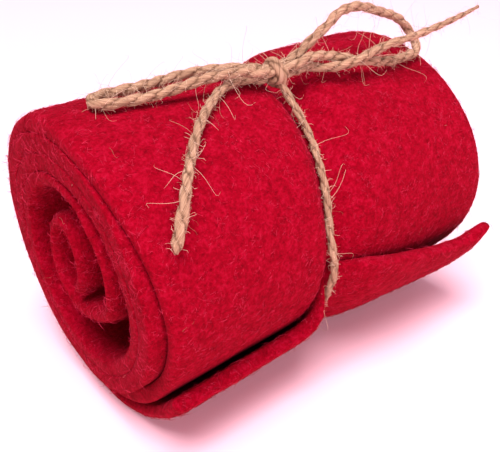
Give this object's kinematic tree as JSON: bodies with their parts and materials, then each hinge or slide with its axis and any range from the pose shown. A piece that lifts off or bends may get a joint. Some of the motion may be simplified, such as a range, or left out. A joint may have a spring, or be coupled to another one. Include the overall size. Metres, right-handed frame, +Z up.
{
  "type": "roll of felt ribbon",
  "caption": "Roll of thick red felt ribbon, loosely wound at its centre and with a loose outer end, tied round the middle with a bow of jute twine.",
  "frame": {"origin": "on the surface it lies on, under the middle of the tied roll, the bow's loops and ends left out", "axes": "+X along the roll's axis to the right as the picture shows it, +Y to the back, +Z up"},
  "size_m": [0.1121, 0.0784, 0.0863],
  "materials": {
    "felt": "thick wool felt, matt and fuzzy",
    "twine": "two-ply jute twine, dry and hairy"
  },
  "bodies": {
    "root": {"felt_ribbon": "felt", "twine_band": "twine", "twine_knot": "twine", "bow_loop_left": "twine", "bow_loop_right": "twine", "twine_end_front": "twine", "twine_end_right": "twine"}
  },
  "joints": []
}
